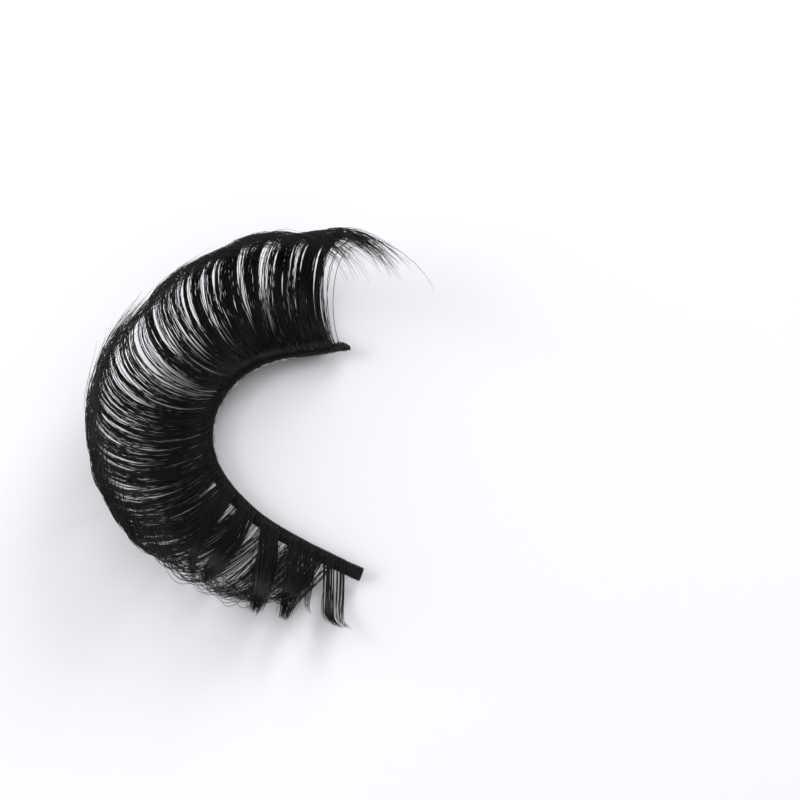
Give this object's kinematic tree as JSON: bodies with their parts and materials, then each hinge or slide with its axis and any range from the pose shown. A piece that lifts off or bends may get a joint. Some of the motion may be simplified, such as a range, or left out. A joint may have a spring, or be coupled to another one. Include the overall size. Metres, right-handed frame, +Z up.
{
  "type": "strip false eyelash",
  "caption": "Black strip false eyelash: a thin thread band bent in a C, with dense fans of long glossy hair that curl down, out and back up over themselves.",
  "frame": {"origin": "middle of the lash's outline, on the surface that the bellies of its hair lie on", "axes": "+Z up from that surface, +Y towards the outer corner of the eye, +X towards the open side of the C, where the eye is"},
  "size_m": [0.0258, 0.035, 0.0089],
  "materials": {
    "band_thread": "matte black knotted thread",
    "lash_hair": "satin black synthetic hair"
  },
  "bodies": {
    "root": {"band": "band_thread", "hair_fan_01": "lash_hair", "hair_fan_02": "lash_hair", "hair_fan_03": "lash_hair", "hair_fan_04": "lash_hair", "hair_fan_05": "lash_hair", "hair_fan_06": "lash_hair", "hair_fan_07": "lash_hair", "hair_fan_08": "lash_hair", "hair_fan_09": "lash_hair", "hair_fan_10": "lash_hair", "hair_fan_11": "lash_hair", "hair_fan_12": "lash_hair", "hair_fan_13": "lash_hair", "hair_fan_14": "lash_hair", "hair_fan_15": "lash_hair", "hair_fan_16": "lash_hair", "hair_fan_17": "lash_hair", "hair_fan_18": "lash_hair", "hair_fan_19": "lash_hair", "hair_fan_20": "lash_hair", "hair_fan_21": "lash_hair", "hair_fan_22": "lash_hair", "hair_fan_23": "lash_hair", "hair_fan_24": "lash_hair", "hair_fan_25": "lash_hair", "hair_fan_26": "lash_hair", "hair_fan_27": "lash_hair", "hair_fan_28": "lash_hair", "hair_fan_29": "lash_hair", "hair_fan_30": "lash_hair"}
  },
  "joints": []
}
